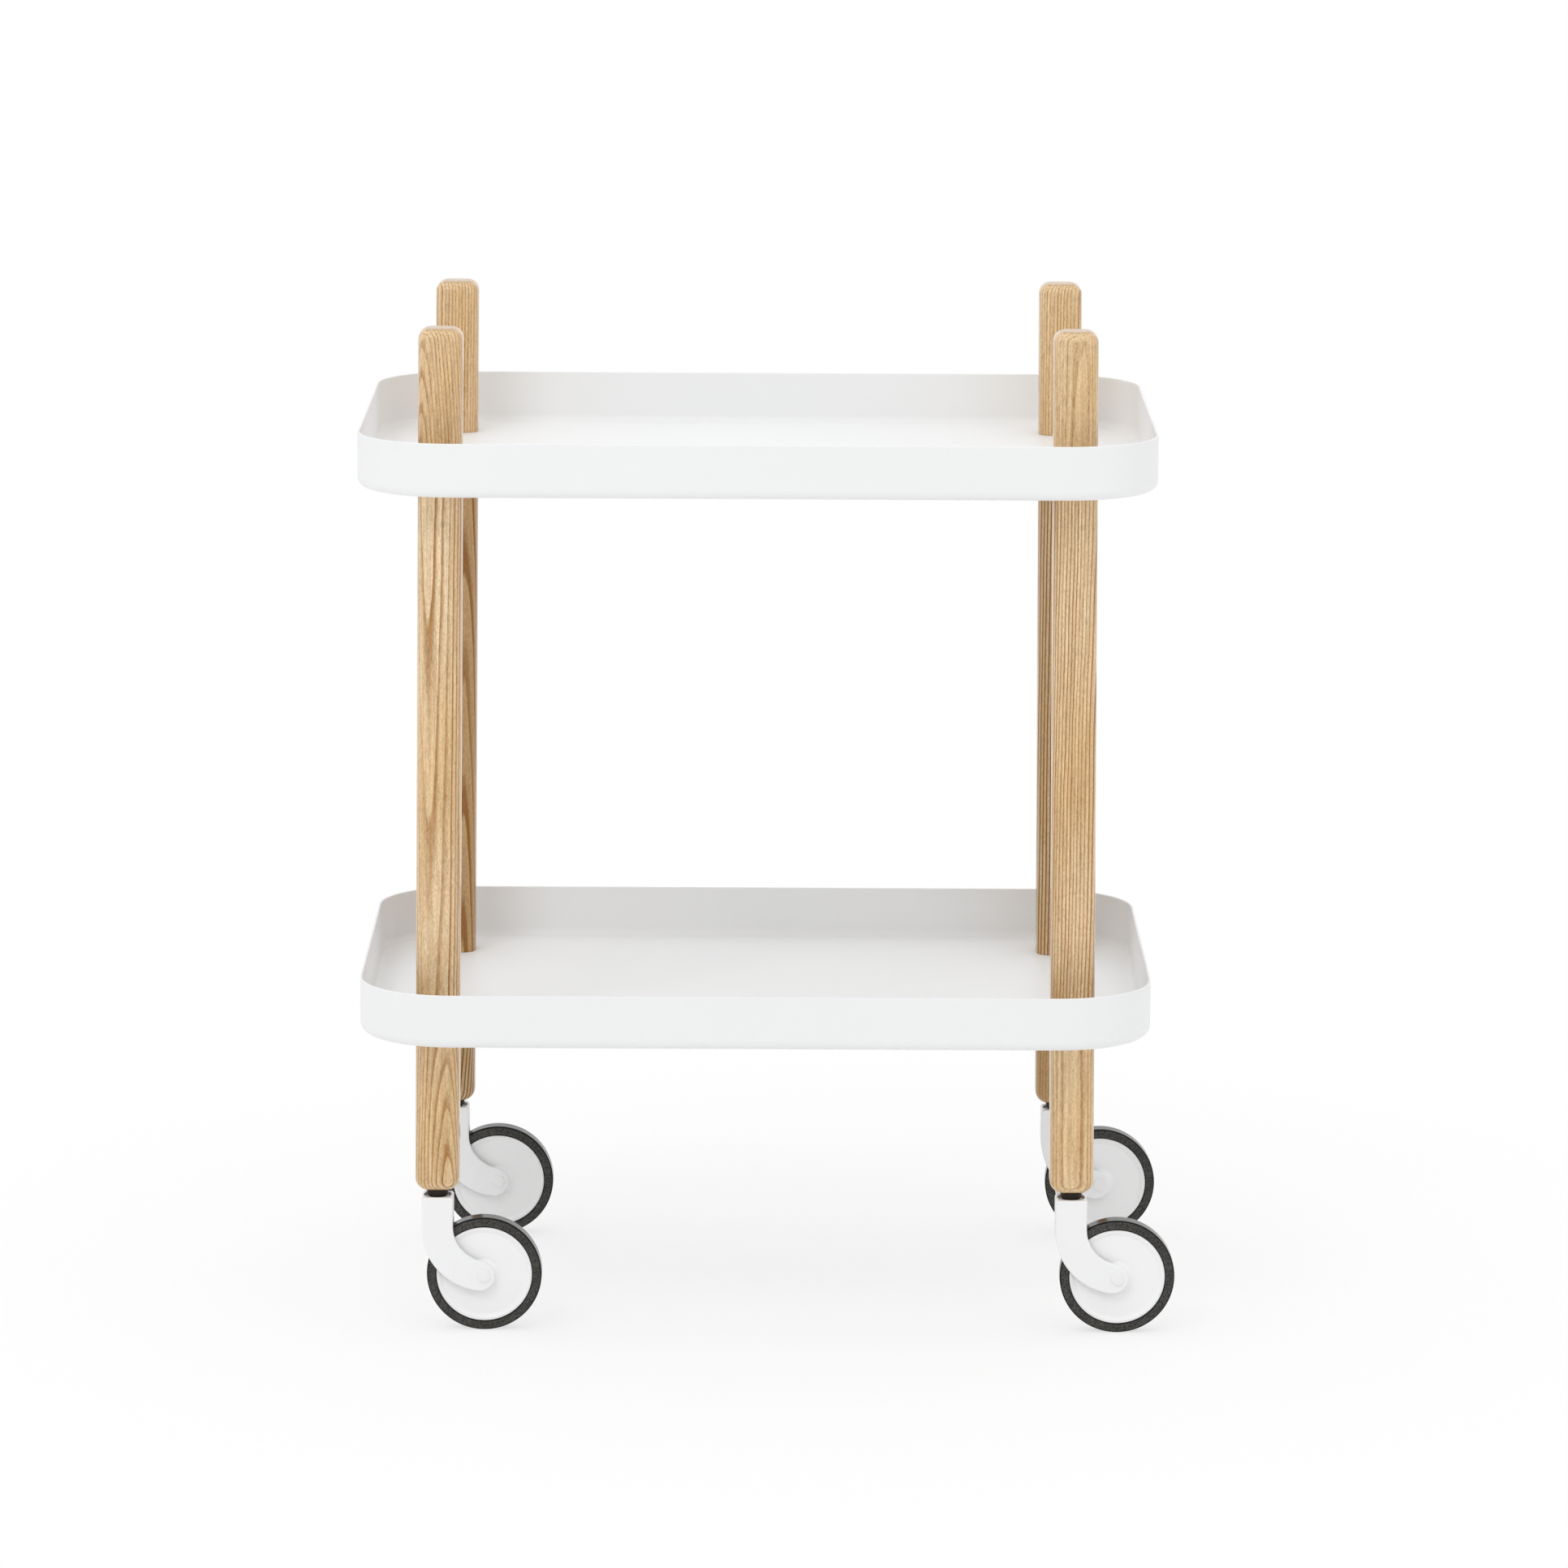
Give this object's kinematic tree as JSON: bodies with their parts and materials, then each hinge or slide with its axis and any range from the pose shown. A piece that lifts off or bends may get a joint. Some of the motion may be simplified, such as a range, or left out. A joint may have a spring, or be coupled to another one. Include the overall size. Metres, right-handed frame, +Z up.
{
  "type": "serving trolley",
  "caption": "Serving trolley: rounded steel trays clamped between round-cornered wooden leg pieces, on swivel casters with curved forks and rubber tyres.",
  "frame": {"origin": "on the floor, under the middle of the whole trolley's box with the casters trailing to +X; the trays' own middle is 8.5 mm to -X of it", "axes": "+Z up; +X along the trays' long side, to the right in the picture; +Y from the front to the back"},
  "size_m": [0.517, 0.35, 0.64],
  "materials": {
    "tray_enamel": "satin white powder coat",
    "fork_enamel": "smooth satin white coat on a casting",
    "leg_wood": "light ash with a satin lacquer, grain along the leg",
    "bright_steel": "zinc-plated steel",
    "spring_steel": "dark spring steel",
    "insert_brass": "turned brass",
    "collar_black": "moulded black",
    "bush_plastic": "natural nylon",
    "cap_white": "moulded white",
    "core_white": "moulded white, satin gloss",
    "tyre_rubber": "charcoal rubber, smooth tread"
  },
  "bodies": {
    "root": {"upper_tray": "tray_enamel", "lower_tray": "tray_enamel", "upper_studs": "bright_steel", "lower_studs": "bright_steel", "finial_inserts": "insert_brass", "post_top_inserts": "insert_brass", "post_bottom_inserts": "insert_brass", "foot_inserts": "insert_brass", "caster_sockets": "bright_steel", "stem_clips": "spring_steel", "finial_fl": "leg_wood", "post_fl": "leg_wood", "foot_fl": "leg_wood", "caster_stem_fl": "bright_steel", "stem_collar_fl": "collar_black", "finial_fr": "leg_wood", "post_fr": "leg_wood", "foot_fr": "leg_wood", "caster_stem_fr": "bright_steel", "stem_collar_fr": "collar_black", "finial_bl": "leg_wood", "post_bl": "leg_wood", "foot_bl": "leg_wood", "caster_stem_bl": "bright_steel", "stem_collar_bl": "collar_black", "finial_br": "leg_wood", "post_br": "leg_wood", "foot_br": "leg_wood", "caster_stem_br": "bright_steel", "stem_collar_br": "collar_black"},
    "caster_fl": {"fork_fl": "fork_enamel", "swivel_bush_fl": "bush_plastic", "axle_fl": "bright_steel", "axle_caps_fl": "cap_white"},
    "wheel_fl": {"wheel_core_fl": "core_white", "tyre_fl": "tyre_rubber", "wheel_bush_fl": "bush_plastic"},
    "caster_fr": {"fork_fr": "fork_enamel", "swivel_bush_fr": "bush_plastic", "axle_fr": "bright_steel", "axle_caps_fr": "cap_white"},
    "wheel_fr": {"wheel_core_fr": "core_white", "tyre_fr": "tyre_rubber", "wheel_bush_fr": "bush_plastic"},
    "caster_bl": {"fork_bl": "fork_enamel", "swivel_bush_bl": "bush_plastic", "axle_bl": "bright_steel", "axle_caps_bl": "cap_white"},
    "wheel_bl": {"wheel_core_bl": "core_white", "tyre_bl": "tyre_rubber", "wheel_bush_bl": "bush_plastic"},
    "caster_br": {"fork_br": "fork_enamel", "swivel_bush_br": "bush_plastic", "axle_br": "bright_steel", "axle_caps_br": "cap_white"},
    "wheel_br": {"wheel_core_br": "core_white", "tyre_br": "tyre_rubber", "wheel_bush_br": "bush_plastic"}
  },
  "joints": [
    {"name": "swivel_fl", "type": "hinge", "parent": "root", "child": "caster_fl", "pos_m": [-0.20939, -0.1265, 0.08], "axis": [0, 0, 1], "continuous": true},
    {"name": "roll_fl", "type": "hinge", "parent": "caster_fl", "child": "wheel_fl", "pos_m": [-0.17979, -0.1265, 0.0365], "axis": [0, 1, 0], "continuous": true},
    {"name": "swivel_fr", "type": "hinge", "parent": "root", "child": "caster_fr", "pos_m": [0.1924, -0.1265, 0.08], "axis": [0, 0, 1], "continuous": true},
    {"name": "roll_fr", "type": "hinge", "parent": "caster_fr", "child": "wheel_fr", "pos_m": [0.222, -0.1265, 0.0365], "axis": [0, 1, 0], "continuous": true},
    {"name": "swivel_bl", "type": "hinge", "parent": "root", "child": "caster_bl", "pos_m": [-0.20939, 0.1265, 0.08], "axis": [0, 0, 1], "continuous": true},
    {"name": "roll_bl", "type": "hinge", "parent": "caster_bl", "child": "wheel_bl", "pos_m": [-0.17979, 0.1265, 0.0365], "axis": [0, 1, 0], "continuous": true},
    {"name": "swivel_br", "type": "hinge", "parent": "root", "child": "caster_br", "pos_m": [0.1924, 0.1265, 0.08], "axis": [0, 0, 1], "continuous": true},
    {"name": "roll_br", "type": "hinge", "parent": "caster_br", "child": "wheel_br", "pos_m": [0.222, 0.1265, 0.0365], "axis": [0, 1, 0], "continuous": true}
  ]
}
